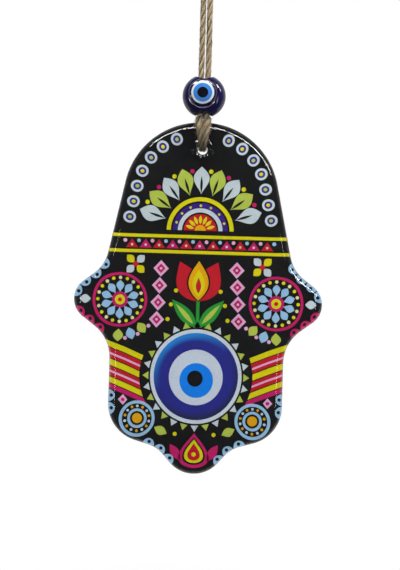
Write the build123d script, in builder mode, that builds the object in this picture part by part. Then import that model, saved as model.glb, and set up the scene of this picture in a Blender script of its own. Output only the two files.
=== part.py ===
from build123d import *
import os
from math import cos, pi, radians, sin, sqrt, tan

# Hamsa hand of fused glass, hung by jute twine under a glass eye bead.
# Millimetres, +Z up, front towards -Y. The origin is the hanging point, inside the top of the twine's loop.

# Hand outline, angles in degrees, shares of the height and of the palm's width
hand_height = 120.0
hand_width = 84.8
thumb_reach = 12.65
dome_share = 0.437
crown_flat = 1.2
side_flare = 12.0
thumb_share = 0.51
thumb_slope = 53.0
thumb_tip_radius = 7.7
thumb_root_radius = 12.4
thumb_underside_radius = 13.5
palm_share = 0.8867
corner_share = 0.2185
shoulder_fall = 15.7
finger_slope = 41.0
finger_root_radius = 10.5
finger_tip_radius = 11.0

# Hand layers, from the front
front_glass_thickness = 3.0
print_thickness = 0.2
base_glass_thickness = 2.0
front_edge_radius = 2.8
back_edge_radius = 1.6
print_margin = 0.6

# Hanging hole
hole_drop = 9.5
hole_slack = 0.25
hole_front_edge_radius = 1.0
hole_back_edge_radius = 0.8

# Printed eye, its place a share of the hand's height, its inner ovals and their shifts shares of the outer one
eye_share = 0.7225
eye_halo_radius = 16.1
eye_narrowing = 0.968
eye_cobalt_share = 0.922
eye_white_share = 0.588
eye_white_drop_share = 0.018
eye_iris_share = 0.368
eye_iris_side_share = 0.01
eye_iris_drop_share = 0.083
eye_pupil_share = 0.171
eye_pupil_side_share = -0.018
eye_pupil_drop_share = 0.044

# Bead, the inner rings of its eye shares of the outer one
bead_radius = 7.4
bead_thickness = 9.0
bead_rim_radius = 3.4
bead_gap = 1.4
bore_mouth_flare = 0.6
bore_mouth_depth = 1.5
bead_eye_wall = 0.2
bead_eye_shift_x = -0.5
bead_eye_shift_z = 0.9
bead_white_radius = 3.9
bead_iris_share = 0.82
bead_pupil_share = 0.474

# Twine
twine_diameter = 2.0
twine_clearance = 0.3
strand_gap = 0.3
swing_clearance = 0.9
bearing_rise = 0.1
bend_share = 0.45
drop_height = 44.0
loop_height = 30.0
knot_height = 7.5
knot_radius = 3.6
knot_face_radius = 2.8

# Levels, from the hanging point down
twine_radius = twine_diameter / 2
knot_top = -loop_height
knot_bottom = knot_top - knot_height
knot_middle = (knot_top + knot_bottom) / 2
swing_level = knot_bottom - swing_clearance - twine_radius
plate_top = swing_level - drop_height
hole_level = plate_top - hole_drop
eye_level = plate_top - eye_share * hand_height
bead_level = plate_top + bead_gap + bead_radius

# Depths, front to back
plate_thickness = front_glass_thickness + print_thickness + base_glass_thickness
back_face = plate_thickness / 2
print_back = back_face - base_glass_thickness
print_front = print_back - print_thickness
leg_depth = back_face + twine_clearance + twine_radius
strand_half = twine_radius + strand_gap / 2
hole_radius = strand_half + twine_radius + hole_slack
bore_radius = strand_half * sqrt(2) + twine_radius + twine_clearance
bead_eye_depth = bore_radius + bead_eye_wall

os.makedirs("parts", exist_ok=True)


def finish(piece, name):
    """Labels a sub-part and writes it out."""
    piece.part.label = name
    export_step(piece.part, f"parts/{name}.step")


# Hand outline: straight slopes that meet at corners, with every corner rounded
def slope(from_vertical):
    """Direction down and outwards, at an angle from the vertical."""
    return Vector(sin(radians(from_vertical)), -cos(radians(from_vertical)))


def crossing(first, first_slope, second, second_slope):
    """Point where two slopes cross."""
    turn = first_slope.cross(second_slope).Z
    along = (second - first).cross(second_slope).Z / turn
    return first + first_slope * along


def tip_reach(radius, half_angle):
    """How far a sharp corner stands beyond the round that replaces it."""
    return radius / sin(radians(half_angle)) - radius


palm_width = hand_width - 2 * thumb_reach
dome_radius = dome_share * palm_width
corner_radius = corner_share * palm_width
thumb_drop = thumb_share * hand_height
corner_drop = palm_share * hand_height

dome_corner = Vector(crown_flat / 2 + dome_radius * tan(radians(90 - side_flare) / 2), 0)
thumb_corner = Vector(hand_width / 2 + tip_reach(thumb_tip_radius, 90 - thumb_slope), -thumb_drop)
thumb_root = crossing(dome_corner, slope(side_flare), thumb_corner, slope(thumb_slope))
palm_corner = Vector(palm_width / 2, -corner_drop)
thumb_underside = crossing(thumb_corner, slope(-thumb_slope), palm_corner, slope(0))
finger_corner = Vector(0, -hand_height - tip_reach(finger_tip_radius, finger_slope))
finger_root = crossing(palm_corner, slope(shoulder_fall - 90), finger_corner, slope(-finger_slope))

right_side = [
    (dome_corner, dome_radius),
    (thumb_root, thumb_root_radius),
    (thumb_corner, thumb_tip_radius),
    (thumb_underside, thumb_underside_radius),
    (palm_corner, corner_radius),
    (finger_root, finger_root_radius),
]
left_side = [(Vector(-corner.X, corner.Y), radius) for corner, radius in reversed(right_side)]
outline = right_side + [(finger_corner, finger_tip_radius)] + left_side
outline_points = [(corner.X, corner.Y + plate_top) for corner, radius in outline]
outline_radii = [radius for corner, radius in outline]

with BuildSketch() as hand:
    with BuildLine():
        FilletPolyline(*outline_points, radius=outline_radii, close=True)
    make_face()

# Glass sheets
with BuildPart() as front_glass:
    with BuildSketch(Plane.XZ.offset(-print_front)):
        add(hand.sketch)
        with Locations((0, hole_level)):
            Circle(hole_radius, mode=Mode.SUBTRACT)
    extrude(amount=front_glass_thickness)
    face = front_glass.faces().sort_by(Axis.Y)[0]
    fillet(face.outer_wire().edges(), front_edge_radius)
    face = front_glass.faces().filter_by(Axis.Y).sort_by(Axis.Y)[0]
    fillet(face.inner_wires()[0].edges(), hole_front_edge_radius)
finish(front_glass, "front_glass")

with BuildPart() as base_glass:
    with BuildSketch(Plane.XZ.offset(-back_face)):
        add(hand.sketch)
        with Locations((0, hole_level)):
            Circle(hole_radius, mode=Mode.SUBTRACT)
    extrude(amount=base_glass_thickness)
    face = base_glass.faces().sort_by(Axis.Y)[-1]
    fillet(face.outer_wire().edges(), back_edge_radius)
    face = base_glass.faces().filter_by(Axis.Y).sort_by(Axis.Y)[-1]
    fillet(face.inner_wires()[0].edges(), hole_back_edge_radius)
finish(base_glass, "base_glass")

# Printed layer between the sheets, with the eye's colours knocked out of the ground
def eye_oval(share, side_share, drop_share, mode=Mode.ADD):
    """Oval of the printed eye, moved to the right and down from the eye's centre."""
    side = side_share * eye_halo_radius
    drop = drop_share * eye_halo_radius
    with Locations((side, eye_level - drop)):
        Ellipse(share * eye_halo_radius * eye_narrowing, share * eye_halo_radius, mode=mode)


with BuildPart() as print_ground:
    with BuildSketch(Plane.XZ.offset(-print_back)):
        add(hand.sketch)
        offset(amount=-print_margin, mode=Mode.REPLACE)
        with Locations((0, hole_level)):
            Circle(hole_radius + print_margin, mode=Mode.SUBTRACT)
        eye_oval(1, 0, 0, mode=Mode.SUBTRACT)
    extrude(amount=print_thickness)
finish(print_ground, "print_ground")

eye_halo_oval = (1, 0, 0)
eye_cobalt_oval = (eye_cobalt_share, 0, 0)
eye_white_oval = (eye_white_share, 0, eye_white_drop_share)
eye_iris_oval = (eye_iris_share, eye_iris_side_share, eye_iris_drop_share)
eye_pupil_oval = (eye_pupil_share, eye_pupil_side_share, eye_pupil_drop_share)
eye_rings = [
    ("eye_halo", eye_halo_oval, eye_cobalt_oval),
    ("eye_cobalt", eye_cobalt_oval, eye_white_oval),
    ("eye_white", eye_white_oval, eye_iris_oval),
    ("eye_iris", eye_iris_oval, eye_pupil_oval),
    ("eye_pupil", eye_pupil_oval, None),
]
for name, outer_oval, inner_oval in eye_rings:
    with BuildPart() as eye_ring:
        with BuildSketch(Plane.XZ.offset(-print_back)):
            eye_oval(*outer_oval)
            if inner_oval:
                eye_oval(*inner_oval, mode=Mode.SUBTRACT)
        extrude(amount=print_thickness)
    finish(eye_ring, name)

# Bead: a lentil of two domed faces and a round rim, with a bore from top to bottom and an eye on each face
rim_centre = bead_radius - bead_rim_radius
half_bead = bead_thickness / 2
dome_reach = rim_centre ** 2 + half_bead ** 2 - bead_rim_radius ** 2
bead_dome_radius = dome_reach / (2 * (half_bead - bead_rim_radius))
dome_centre = half_bead - bead_dome_radius
rim_start = Vector(rim_centre, -dome_centre).normalized() * bead_dome_radius + Vector(0, dome_centre)

with BuildPart() as lentil:
    with BuildSketch(Plane.XY.offset(bead_level)):
        with BuildLine():
            TangentArc((0, half_bead), (rim_start.X, rim_start.Y), tangent=(1, 0))
            ThreePointArc((rim_start.X, rim_start.Y), (bead_radius, 0), (rim_start.X, -rim_start.Y))
            TangentArc((0, -half_bead), (rim_start.X, -rim_start.Y), tangent=(1, 0))
            Line((0, half_bead), (0, -half_bead))
        make_face()
    revolve(axis=Axis((0, 0, bead_level), (0, 1, 0)))

bead_eye = (bead_eye_shift_x, bead_level + bead_eye_shift_z)
bead_sides = [("front", 1), ("back", -1)]

with BuildPart() as bead_body:
    add(lentil.part)
    with BuildSketch(Plane.XZ):
        with BuildLine():
            mouth_start = bead_radius - bore_mouth_depth
            mouth_end = bead_radius + bore_mouth_depth
            mouth_end_radius = bore_radius + 2 * bore_mouth_flare
            Polyline(
                (0, bead_level - mouth_end),
                (mouth_end_radius, bead_level - mouth_end),
                (bore_radius, bead_level - mouth_start),
                (bore_radius, bead_level + mouth_start),
                (mouth_end_radius, bead_level + mouth_end),
                (0, bead_level + mouth_end),
                close=True,
            )
        make_face()
    revolve(axis=Axis.Z, mode=Mode.SUBTRACT)
    for side, facing in bead_sides:
        with BuildSketch(Plane.XZ.offset(facing * bead_eye_depth)):
            with Locations(bead_eye):
                Circle(bead_white_radius)
        extrude(amount=facing * bead_thickness, mode=Mode.SUBTRACT)
finish(bead_body, "bead_body")

bead_iris_radius = bead_iris_share * bead_white_radius
bead_pupil_radius = bead_pupil_share * bead_white_radius
bead_rings = [
    ("bead_white", bead_white_radius, bead_iris_radius),
    ("bead_iris", bead_iris_radius, bead_pupil_radius),
    ("bead_pupil", bead_pupil_radius, 0),
]
for name, outer_radius, inner_radius in bead_rings:
    for side, facing in bead_sides:
        with BuildPart() as bead_ring:
            with BuildSketch(Plane.XZ.offset(facing * bead_eye_depth)):
                with Locations(bead_eye):
                    Circle(outer_radius)
                    if inner_radius > 0:
                        Circle(inner_radius, mode=Mode.SUBTRACT)
            extrude(amount=facing * bead_thickness)
            add(lentil.part, mode=Mode.INTERSECT)
        finish(bead_ring, f"{name}_{side}")


# Twine: a round cord along straight runs that are joined by arcs
def corner_radii(points):
    """Radius at each inner point, with bend_share of the shorter run beside it given to the bend."""
    radii = []
    for before, point, after in zip(points, points[1:], points[2:]):
        run_in = Vector(point) - Vector(before)
        run_out = Vector(after) - Vector(point)
        half_turn = radians(run_in.get_angle(run_out)) / 2
        radii.append(bend_share * min(run_in.length, run_out.length) / tan(half_turn))
    return radii


def report_cord(name, path, solid, radii):
    """Prints a cord's length, its arcs' radii, and its volume against section times length."""
    length = sum(edge.length for edge in path.edges())
    section = pi * twine_radius ** 2
    print(name, "length", round(length, 2), "radii", [round(radius, 1) for radius in radii])
    print(name, "volume over section times length", round(solid.volume / (section * length), 4))


# Two slings side by side: down through the bead, through the hand's hole from the front, up behind and back
hole_pass = hole_level + bearing_rise
front_run = [
    (strand_half, -strand_half, swing_level),
    (strand_half, -strand_half, plate_top + 33.0),
    (strand_half + 0.05, -strand_half - 0.05, plate_top + 20.0),
    (strand_half, -strand_half, plate_top + 6.5),
    (1.25, -1.25, plate_top + 1.9),
    (1.95, -3.7, plate_top + 0.8),
    (1.5, -4.2, plate_top - 2.0),
    (strand_half, -leg_depth, hole_pass),
]
sling_points = front_run + [(x, -y, z) for x, y, z in reversed(front_run)]
sling_radii = corner_radii(sling_points)

for name, side in [("drop_twine_right", 1), ("drop_twine_left", -1)]:
    side_points = [(side * x, y, z) for x, y, z in sling_points]
    with BuildPart() as sling:
        with BuildLine() as sling_path:
            FilletPolyline(*side_points, radius=sling_radii)
        with BuildSketch(Plane(sling_path.line @ 0, z_dir=sling_path.line % 0)):
            Circle(twine_radius)
        sweep()
        with Locations(side_points[0], side_points[-1]):
            Sphere(twine_radius, arc_size1=0, align=(Align.CENTER, Align.CENTER, Align.MIN))
    report_cord(name, sling_path, sling.part, sling_radii)
    finish(sling, name)

# Knot: a round barrel with the twine's two cut ends
cut_ends = [
    [
        (1.0, -1.2, knot_middle + 0.5),
        (4.4, -2.0, knot_middle + 1.2),
        (7.0, -2.6, knot_middle - 0.8),
        (8.2, -2.8, knot_middle - 3.8),
    ],
    [
        (-1.0, 1.2, knot_middle - 0.5),
        (-4.2, 2.0, knot_middle - 0.2),
        (-6.0, 2.4, knot_middle - 2.4),
        (-6.5, 2.5, knot_middle - 5.2),
    ],
]

with BuildPart() as top_knot:
    with BuildSketch(Plane.XZ):
        with BuildLine():
            Polyline(
                (knot_face_radius, knot_top),
                (0, knot_top),
                (0, knot_bottom),
                (knot_face_radius, knot_bottom),
            )
            ThreePointArc(
                (knot_face_radius, knot_bottom),
                (knot_radius, knot_middle),
                (knot_face_radius, knot_top),
            )
        make_face()
    revolve(axis=Axis.Z)
    for end_points in cut_ends:
        with BuildLine() as end_path:
            FilletPolyline(*end_points, radius=corner_radii(end_points))
        with BuildSketch(Plane(end_path.line @ 0, z_dir=end_path.line % 0)):
            Circle(twine_radius)
        sweep(path=end_path.line)
finish(top_knot, "top_knot")

# Hanging loop: up from the knot, over the hook and back
right_leg = [
    (strand_half, 0, knot_top),
    (4.6, 0, knot_top + 10.5),
    (6.9, 0, knot_top + 21.0),
    (5.0, 0, twine_radius),
]
loop_points = right_leg + [(-x, y, z) for x, y, z in reversed(right_leg)]
loop_radii = corner_radii(loop_points)

with BuildPart() as hanging_loop:
    with BuildLine() as loop_path:
        FilletPolyline(*loop_points, radius=loop_radii)
    with BuildSketch(Plane(loop_path.line @ 0, z_dir=loop_path.line % 0)):
        Circle(twine_radius)
    sweep()
    add(top_knot.part, mode=Mode.SUBTRACT)
report_cord("hanging_loop", loop_path, hanging_loop.part, loop_radii)
finish(hanging_loop, "hanging_loop")
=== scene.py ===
import math
import random

import bmesh
import bpy
import numpy as np
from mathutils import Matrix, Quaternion, Vector
from mathutils.geometry import tessellate_polygon


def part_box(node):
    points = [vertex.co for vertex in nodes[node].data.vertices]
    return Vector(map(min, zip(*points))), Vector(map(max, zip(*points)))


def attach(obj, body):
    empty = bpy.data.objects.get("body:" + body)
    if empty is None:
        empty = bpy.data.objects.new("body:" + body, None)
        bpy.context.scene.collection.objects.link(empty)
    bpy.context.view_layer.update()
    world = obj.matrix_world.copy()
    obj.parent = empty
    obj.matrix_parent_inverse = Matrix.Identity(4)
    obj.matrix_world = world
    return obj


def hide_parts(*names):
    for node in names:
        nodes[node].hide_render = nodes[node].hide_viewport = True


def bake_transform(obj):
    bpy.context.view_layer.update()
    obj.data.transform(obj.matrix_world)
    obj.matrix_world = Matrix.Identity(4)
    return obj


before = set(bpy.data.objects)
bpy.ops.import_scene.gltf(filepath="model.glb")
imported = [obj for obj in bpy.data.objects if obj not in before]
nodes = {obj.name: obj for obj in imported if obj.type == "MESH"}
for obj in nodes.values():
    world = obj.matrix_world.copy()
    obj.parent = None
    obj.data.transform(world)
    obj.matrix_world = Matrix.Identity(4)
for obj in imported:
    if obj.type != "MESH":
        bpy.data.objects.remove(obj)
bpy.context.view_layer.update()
MM = 0.001

# Places taken from the frame, in metres
plate_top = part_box("front_glass")[1].z
front_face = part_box("front_glass")[0].y
back_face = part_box("base_glass")[1].y
print_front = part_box("print_ground")[0].y
print_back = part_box("print_ground")[1].y
eye_level = (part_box("eye_halo")[0].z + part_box("eye_halo")[1].z) / 2
bead_eye = (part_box("bead_white_front")[0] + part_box("bead_white_front")[1]) / 2

# Hand outline in millimetres, from the CAD sketch's values
HAND_HEIGHT = 120.0
HAND_WIDTH = 84.8
THUMB_REACH = 12.65
PALM_WIDTH = HAND_WIDTH - 2 * THUMB_REACH
DOME_RADIUS = 0.437 * PALM_WIDTH
CROWN_FLAT = 1.2
SIDE_FLARE = 12.0
THUMB_DROP = 0.51 * HAND_HEIGHT
THUMB_SLOPE = 53.0
THUMB_TIP_RADIUS = 7.7
THUMB_ROOT_RADIUS = 12.4
THUMB_UNDERSIDE_RADIUS = 13.5
CORNER_DROP = 0.8867 * HAND_HEIGHT
CORNER_RADIUS = 0.2185 * PALM_WIDTH
SHOULDER_FALL = 15.7
FINGER_SLOPE = 41.0
FINGER_ROOT_RADIUS = 10.5
FINGER_TIP_RADIUS = 11.0
HOLE_DROP = 9.5
ARC_STEPS = 24


def slope(from_vertical):
    """Direction down and outwards, at an angle from the vertical."""
    angle = math.radians(from_vertical)
    return Vector((math.sin(angle), -math.cos(angle)))


def crossing(first, first_slope, second, second_slope):
    """Point where two slopes cross."""
    turn = first_slope.x * second_slope.y - first_slope.y * second_slope.x
    gap = second - first
    distance = (gap.x * second_slope.y - gap.y * second_slope.x) / turn
    return first + first_slope * distance


def tip_reach(radius, half_angle):
    """How far a sharp corner stands beyond the round that replaces it."""
    return radius / math.sin(math.radians(half_angle)) - radius


def hand_corners():
    """The outline's sharp corners with their radii, clockwise from the right of the dome."""
    dome = Vector((CROWN_FLAT / 2 + DOME_RADIUS * math.tan(math.radians(90 - SIDE_FLARE) / 2), 0))
    thumb = Vector((HAND_WIDTH / 2 + tip_reach(THUMB_TIP_RADIUS, 90 - THUMB_SLOPE), -THUMB_DROP))
    thumb_root = crossing(dome, slope(SIDE_FLARE), thumb, slope(THUMB_SLOPE))
    palm = Vector((PALM_WIDTH / 2, -CORNER_DROP))
    underside = crossing(thumb, slope(-THUMB_SLOPE), palm, slope(0))
    finger = Vector((0, -HAND_HEIGHT - tip_reach(FINGER_TIP_RADIUS, FINGER_SLOPE)))
    finger_root = crossing(palm, slope(SHOULDER_FALL - 90), finger, slope(-FINGER_SLOPE))
    right = [
        (dome, DOME_RADIUS),
        (thumb_root, THUMB_ROOT_RADIUS),
        (thumb, THUMB_TIP_RADIUS),
        (underside, THUMB_UNDERSIDE_RADIUS),
        (palm, CORNER_RADIUS),
        (finger_root, FINGER_ROOT_RADIUS),
    ]
    left = [(Vector((-corner.x, corner.y)), radius) for corner, radius in reversed(right)]
    return right + [(finger, FINGER_TIP_RADIUS)] + left


def hand_loop(inset):
    """Points and outward normals round the outline, moved inwards by inset millimetres."""
    corners = hand_corners()
    points, normals = [], []
    for i, (corner, radius) in enumerate(corners):
        run_in = (corner - corners[i - 1][0]).normalized()
        run_out = (corners[(i + 1) % len(corners)][0] - corner).normalized()
        turn = math.atan2(run_in.x * run_out.y - run_in.y * run_out.x, run_in.dot(run_out))
        centre = corner + (run_out - run_in).normalized() * (radius / math.cos(turn / 2))
        reach = radius - inset if turn < 0 else -radius - inset
        across = Vector((-run_in.y, run_in.x))
        for k in range(ARC_STEPS + 1):
            angle = turn * k / ARC_STEPS
            normal = Vector((
                across.x * math.cos(angle) - across.y * math.sin(angle),
                across.x * math.sin(angle) + across.y * math.cos(angle),
            ))
            points.append(centre + normal * reach)
            normals.append(normal)
    return points, normals


# Shader nodes: most of these functions add a node and return the output that it is used for
def set_inputs(node, inputs):
    """Sets each named input of a node to a value, or links it to another node's output."""
    for name, value in inputs.items():
        if isinstance(value, bpy.types.NodeSocket):
            node.id_data.links.new(value, node.inputs[name])
        else:
            node.inputs[name].default_value = value


def add_node(tree, kind, inputs, **settings):
    """Adds a node with its settings and inputs."""
    node = tree.nodes.new("ShaderNode" + kind)
    for name, value in settings.items():
        setattr(node, name, value)
    set_inputs(node, inputs)
    return node


def coordinates(tree, kind="Object"):
    return add_node(tree, "TexCoord", {}).outputs[kind]


def axis_of(tree, vector, axis):
    return add_node(tree, "SeparateXYZ", {"Vector": vector}).outputs[axis]


def maths(tree, operation, *values):
    return add_node(tree, "Math", dict(enumerate(values)), operation=operation).outputs["Value"]


def vector_maths(tree, operation, *values, output="Vector"):
    return add_node(tree, "VectorMath", dict(enumerate(values)), operation=operation).outputs[output]


def map_range(tree, value, from_min, from_max, to_min=0.0, interpolation="LINEAR"):
    """A value's way from one limit to the other, as a number between to_min and 1."""
    limits = {"Value": value, "From Min": from_min, "From Max": from_max, "To Min": to_min}
    return add_node(tree, "MapRange", limits, interpolation_type=interpolation).outputs["Result"]


def noise(tree, place, **inputs):
    return add_node(tree, "TexNoise", {"Vector": place, **inputs}).outputs["Fac"]


def mix_colours(tree, factor, first, second, blend="MIX"):
    tones = {"Factor": factor, "A": first, "B": second}
    return add_node(tree, "Mix", tones, data_type="RGBA", blend_type=blend).outputs["Result"]


def colour_ramp(tree, value, stops):
    """Colour that runs through stops, each a position and a colour."""
    ramp = add_node(tree, "ValToRGB", {"Fac": value})
    elements = ramp.color_ramp.elements
    elements[0].position = stops[0][0]
    elements[1].position = stops[-1][0]
    for stop in stops[1:-1]:
        elements.new(stop[0])
    for element, stop in zip(elements, stops):
        element.color = (*stop[1], 1.0)
    return ramp.outputs["Color"]


def bump(tree, height, strength, distance, **inputs):
    inputs = {"Height": height, "Strength": strength, "Distance": distance, **inputs}
    return add_node(tree, "Bump", inputs).outputs["Normal"]


def mix_shaders(tree, share, first, second):
    """Lets a material show its second shader by a share, and otherwise its first."""
    mix = add_node(tree, "MixShader", {"Fac": share, 1: first.outputs[0], 2: second.outputs[0]})
    set_inputs(tree.nodes["Material Output"], {"Surface": mix.outputs["Shader"]})


def tint(colour, share):
    """A colour made lighter or darker by a share."""
    return (*[min(1.0, channel * share) for channel in colour], 1.0)


def mottle(tree, colour, scale, amount):
    """Noise between a darker and a lighter tone of one colour."""
    cloud = noise(tree, coordinates(tree), Scale=scale, Detail=5.0)
    return mix_colours(tree, cloud, tint(colour, 1 - amount), tint(colour, 1 + amount))


def uneven(tree, scale, strength, distance):
    """Normal of a surface with fine unevenness."""
    return bump(tree, noise(tree, coordinates(tree), Scale=scale, Detail=3.0), strength, distance)


# Materials: where a fade or a mark lies is in millimetres, and a tone is a share of full brightness
ENAMEL_GRAIN = 1400.0
ENAMEL_MOTTLE = 0.13
ENAMEL_FINISH = {"Roughness": 0.6, "Specular IOR Level": 0.05}
BEAD_GRAIN = 420.0
EYE_COBALT = (0.021, 0.024, 0.215)
EYE_COBALT_MOTTLE = 0.15
EYE_EDGE_TONES = [
    (0.1, (0.019, 0.0215, 0.078)),
    (0.58, (0.02, 0.024, 0.2)),
    (0.95, (0.016, 0.195, 0.58)),
]
EYE_LIGHT_SIDE = (-0.5, 0.0, 0.866)
EYE_FADE_START = 11.7
EYE_FADE_END = 14.3
PRESSED_RADIUS = 4.9
PRESSED_WIDTH = 0.46
PRESSED_DEPTH = 0.5
JUTE_TONES = [
    (0.3, (0.19, 0.125, 0.062)),
    (0.52, (0.64, 0.50, 0.305)),
    (0.72, (0.96, 0.81, 0.56)),
]
STREAK_STRETCH = (0.7, 9.0, 1.0)
# Painted shade between the plies: the tone on a ply's inner side, and where it fades out round the ply
CREASE_SHADE_TONE = 0.28
CREASE_SHADE_START = -0.1
CREASE_SHADE_END = 0.6
# Painted shade towards the hand's hole: its tone, and how far above the hole it fades out
HOLE_SHADE_TONE = 0.42
HOLE_SHADE_END = 2.0
# Painted shade under the bead: its tone, its middle's height above the hand's top, and where it is full
# and where it ends
BEAD_SHADE_TONE = 0.24
BEAD_SHADE_RISE = 2.4
BEAD_SHADE_HALF = 1.5
BEAD_SHADE_END = 3.8


def new_material(name):
    """A material with its node tree and Principled shader."""
    material = bpy.data.materials.new(name)
    material.use_nodes = True
    return material, material.node_tree, material.node_tree.nodes["Principled BSDF"]


def put(material, piece):
    """Gives a piece this one material."""
    piece.data.materials.clear()
    piece.data.materials.append(material)


def enamel(name, colour):
    """Fired print colour, slightly uneven as screen-printed enamel is."""
    material, tree, principled = new_material(name)
    mottled = mottle(tree, colour, ENAMEL_GRAIN, ENAMEL_MOTTLE)
    set_inputs(principled, {"Base Color": mottled, **ENAMEL_FINISH})
    return material


def shaded_cobalt():
    """Cobalt enamel whose outer edge turns light blue at the upper left and navy at the lower right."""
    material, tree, principled = new_material("eye_cobalt")
    from_centre = vector_maths(tree, "SUBTRACT", coordinates(tree), (0.0, 0.0, eye_level))
    reach = vector_maths(tree, "LENGTH", from_centre, output="Value")
    edge = map_range(tree, reach, EYE_FADE_START * MM, EYE_FADE_END * MM, interpolation="SMOOTHSTEP")
    lean = vector_maths(tree, "DOT_PRODUCT", from_centre, EYE_LIGHT_SIDE, output="Value")
    side = map_range(tree, lean, -EYE_FADE_END * MM, EYE_FADE_END * MM)
    mottled = mottle(tree, EYE_COBALT, ENAMEL_GRAIN, EYE_COBALT_MOTTLE)
    colour = mix_colours(tree, edge, mottled, colour_ramp(tree, side, EYE_EDGE_TONES))
    set_inputs(principled, {"Base Color": colour, **ENAMEL_FINISH})
    return material


def pressed(tree, centre, normal):
    """Normal with a shallow groove round a bead's eye, left where its white glass was pressed in."""
    from_centre = vector_maths(tree, "SUBTRACT", coordinates(tree), (centre.x, 0.0, centre.z))
    flat = vector_maths(tree, "MULTIPLY", from_centre, (1.0, 0.0, 1.0))
    reach = vector_maths(tree, "LENGTH", flat, output="Value")
    away = maths(tree, "ABSOLUTE", maths(tree, "SUBTRACT", reach, PRESSED_RADIUS * MM))
    wall = map_range(tree, away, 0.0, PRESSED_WIDTH * MM, interpolation="SMOOTHSTEP")
    return bump(tree, wall, strength=1.0, distance=PRESSED_DEPTH * MM, Normal=normal)


def bead_glass(name, colour, amount, eye=None):
    """Polished opaque lampwork glass with faint flow marks, pressed in round an eye if it has one."""
    material, tree, principled = new_material(name)
    normal = uneven(tree, scale=300.0, strength=0.06, distance=0.0004)
    set_inputs(principled, {
        "Base Color": mottle(tree, colour, BEAD_GRAIN, amount),
        "Roughness": 0.07,
        "IOR": 1.52,
        "Normal": pressed(tree, eye, normal) if eye else normal,
    })
    return material


def clear_glass():
    """Fire-polished glass. Lamps shine through it onto the print."""
    material, tree, principled = new_material("clear_glass")
    set_inputs(principled, {
        "Base Color": (0.965, 0.985, 0.975, 1.0),
        "Roughness": 0.0,
        "IOR": 1.5,
        "Transmission Weight": 1.0,
        "Normal": uneven(tree, scale=80.0, strength=0.07, distance=0.0006),
    })
    shadow_ray = add_node(tree, "LightPath", {}).outputs["Is Shadow Ray"]
    see_through = add_node(tree, "BsdfTransparent", {"Color": (0.95, 0.97, 0.96, 1.0)})
    mix_shaders(tree, shadow_ray, principled, see_through)
    return material


def jute():
    """Natural jute, streaked along each ply, with painted shade in the creases between plies, in the
    hand's hole and under the bead.
    """
    material, tree, principled = new_material("jute")
    on_ply = coordinates(tree, "UV")
    stretched = add_node(tree, "Mapping", {"Vector": on_ply, "Scale": STREAK_STRETCH}).outputs["Vector"]
    streaks = noise(tree, stretched, Scale=1.0, Detail=6.0, Roughness=0.65)
    # Painted shade: each ply is darker on its inner side, where it meets the other plies
    outward = maths(tree, "COSINE", maths(tree, "MULTIPLY", axis_of(tree, on_ply, "Y"), 2 * math.pi))
    crease_shade = map_range(tree, outward, CREASE_SHADE_START, CREASE_SHADE_END, CREASE_SHADE_TONE)
    height = axis_of(tree, coordinates(tree), "Z")
    # Painted shade: the twine darkens towards the hand's hole, where it lies in shadow
    hole_level = plate_top - HOLE_DROP * MM
    hole_shade = map_range(tree, height, hole_level, plate_top - HOLE_SHADE_END * MM, HOLE_SHADE_TONE)
    # Painted shade: a dark band round the bead's lower edge, where the bead shades the twine
    off_bead_shade = maths(tree, "ABSOLUTE", maths(tree, "SUBTRACT", height, plate_top + BEAD_SHADE_RISE * MM))
    bead_shade = map_range(tree, off_bead_shade, BEAD_SHADE_HALF * MM, BEAD_SHADE_END * MM, BEAD_SHADE_TONE)
    shade = maths(tree, "MULTIPLY", crease_shade, maths(tree, "MULTIPLY", hole_shade, bead_shade))
    set_inputs(principled, {
        "Base Color": mix_colours(tree, 1.0, colour_ramp(tree, streaks, JUTE_TONES), shade, "MULTIPLY"),
        "Roughness": 0.85,
        "Specular IOR Level": 0.2,
        "Sheen Weight": 0.25,
        "Normal": bump(tree, streaks, strength=0.8, distance=0.0002),
    })
    return material


COLOURS = {
    "black": (0.0075, 0.0075, 0.0085),
    "yellow": (0.60, 0.55, 0.004),
    "lime": (0.40, 0.48, 0.07),
    "pale": (0.48, 0.55, 0.60),
    "purple": (0.035, 0.014, 0.19),
    "red": (0.45, 0.012, 0.022),
    "magenta": (0.46, 0.012, 0.115),
    "pink": (0.66, 0.36, 0.58),
    "light_blue": (0.27, 0.46, 0.68),
    "orange": (0.68, 0.33, 0.004),
    "green": (0.02, 0.27, 0.035),
    "cream": (0.66, 0.64, 0.30),
}
enamels = {name: enamel("enamel_" + name, colour) for name, colour in COLOURS.items()}
jute_material = jute()

put(enamels["black"], nodes["print_ground"])
put(enamel("eye_halo", (0.53, 0.585, 0.65)), nodes["eye_halo"])
put(shaded_cobalt(), nodes["eye_cobalt"])
put(enamel("eye_white", (0.515, 0.57, 0.64)), nodes["eye_white"])
put(enamel("eye_iris", (0.006, 0.19, 0.72)), nodes["eye_iris"])
put(enamels["black"], nodes["eye_pupil"])

bead_finishes = {
    "bead_white": bead_glass("bead_white", (0.80, 0.87, 0.93), 0.04),
    "bead_iris": bead_glass("bead_iris", (0.055, 0.25, 0.72), 0.10),
    "bead_pupil": bead_glass("bead_pupil", (0.006, 0.006, 0.012), 0.3),
}
put(bead_glass("bead_cobalt", (0.012, 0.009, 0.066), 0.35, bead_eye), nodes["bead_body"])
for finish_name, finish in bead_finishes.items():
    for face in ("front", "back"):
        put(finish, nodes[f"{finish_name}_{face}"])


def new_object(name, data):
    """Adds an object to the scene."""
    added = bpy.data.objects.new(name, data)
    bpy.context.scene.collection.objects.link(added)
    return added


def mesh_from(name, vertices, faces):
    mesh = bpy.data.meshes.new(name)
    mesh.from_pydata(vertices, [], faces)
    mesh.update()
    return mesh


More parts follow.
